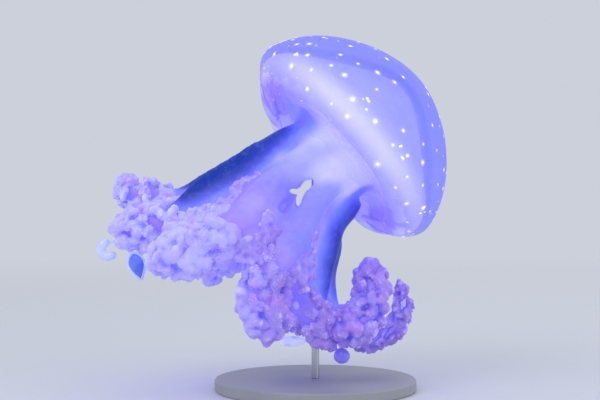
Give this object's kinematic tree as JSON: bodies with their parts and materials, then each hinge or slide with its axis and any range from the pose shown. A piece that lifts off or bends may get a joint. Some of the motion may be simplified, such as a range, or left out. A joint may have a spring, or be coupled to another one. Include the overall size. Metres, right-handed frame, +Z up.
{
  "type": "australian spotted jellyfish on a display stand",
  "caption": "Swimming spotted jellyfish: a leaning domed bell, an arm disc and frilled oral arms with clubs, held by a rod on a round base.",
  "frame": {"origin": "on the floor, under the middle of the model's bounding box", "axes": "+Z up; the bell leans over towards +X and the arms trail towards -X; -Y is the near side"},
  "size_m": [0.3569, 0.244, 0.3664],
  "materials": {
    "bell_jelly": "clear wet jelly, blue, with raised white spots",
    "arm_flesh": "wet translucent flesh, deep blue at the keels to lavender",
    "frill_flesh": "wet frilled flesh, lavender with violet folds",
    "club_flesh": "wet pale clubs",
    "stand_base_paint": "satin grey paint",
    "stand_rod_steel": "brushed"
  },
  "bodies": {
    "root": {"bell": "bell_jelly", "arm_disc": "arm_flesh", "oral_arm_1_upper": "arm_flesh", "oral_arm_1_middle": "frill_flesh", "oral_arm_1_tip": "frill_flesh", "oral_arm_2_upper": "arm_flesh", "oral_arm_2_middle": "frill_flesh", "oral_arm_2_tip": "frill_flesh", "oral_arm_3_upper": "arm_flesh", "oral_arm_3_middle": "frill_flesh", "oral_arm_3_tip": "frill_flesh", "oral_arm_4_upper": "arm_flesh", "oral_arm_4_middle": "frill_flesh", "oral_arm_4_tip": "frill_flesh", "oral_arm_5_upper": "arm_flesh", "oral_arm_5_middle": "frill_flesh", "oral_arm_5_tip": "frill_flesh", "oral_arm_6_upper": "arm_flesh", "oral_arm_6_middle": "frill_flesh", "oral_arm_6_tip": "frill_flesh", "oral_arm_7_upper": "arm_flesh", "oral_arm_7_middle": "frill_flesh", "oral_arm_7_tip": "frill_flesh", "oral_arm_8_upper": "arm_flesh", "oral_arm_8_middle": "frill_flesh", "oral_arm_8_tip": "frill_flesh", "club_curled": "club_flesh", "club_leaf": "club_flesh", "club_pad": "club_flesh", "club_ball": "club_flesh", "stand_base": "stand_base_paint", "stand_rod": "stand_rod_steel"}
  },
  "joints": []
}
